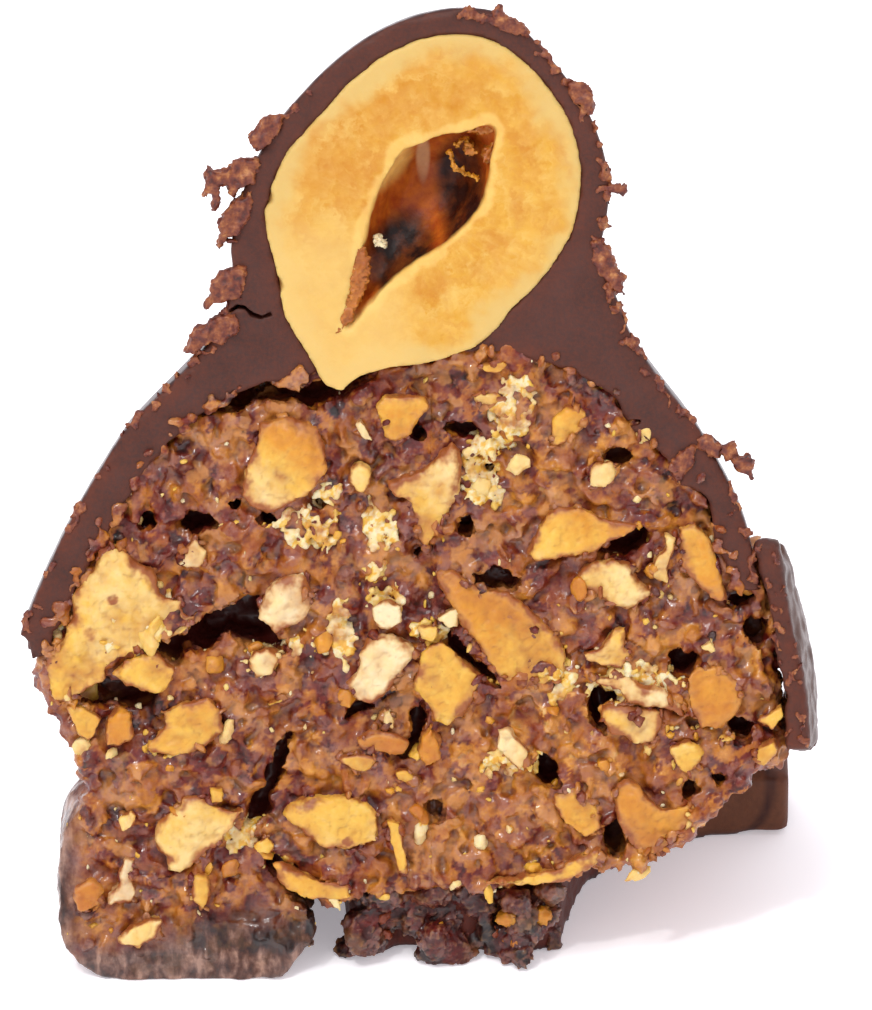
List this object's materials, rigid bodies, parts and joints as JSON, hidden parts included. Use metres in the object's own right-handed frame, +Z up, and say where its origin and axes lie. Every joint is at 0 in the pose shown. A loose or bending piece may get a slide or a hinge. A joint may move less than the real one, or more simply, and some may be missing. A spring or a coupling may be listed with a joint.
{
  "type": "hazelnut chocolate praline half",
  "caption": "Dome-shaped dark chocolate praline cut in half, standing on its foot, with a whole hazelnut under the crown and a chopped-nut filling.",
  "frame": {"origin": "on the dome's axis, at the underside of the chocolate foot where it meets the table", "axes": "+Z up through the crown, -Y out of the cut face's foot towards the viewer, +X to the right of the cut face"},
  "size_m": [0.0279, 0.0191, 0.0335],
  "materials": {
    "dark_chocolate": "set dark chocolate, satin on the cut and glossy outside",
    "gianduja": "rough torn nut and chocolate paste",
    "roasted_nut": "cut roasted kernel, slightly oily"
  },
  "bodies": {
    "root": {"chocolate_coat": "dark_chocolate", "coat_plate": "dark_chocolate", "filling": "gianduja", "hazelnut": "roasted_nut"}
  },
  "joints": []
}
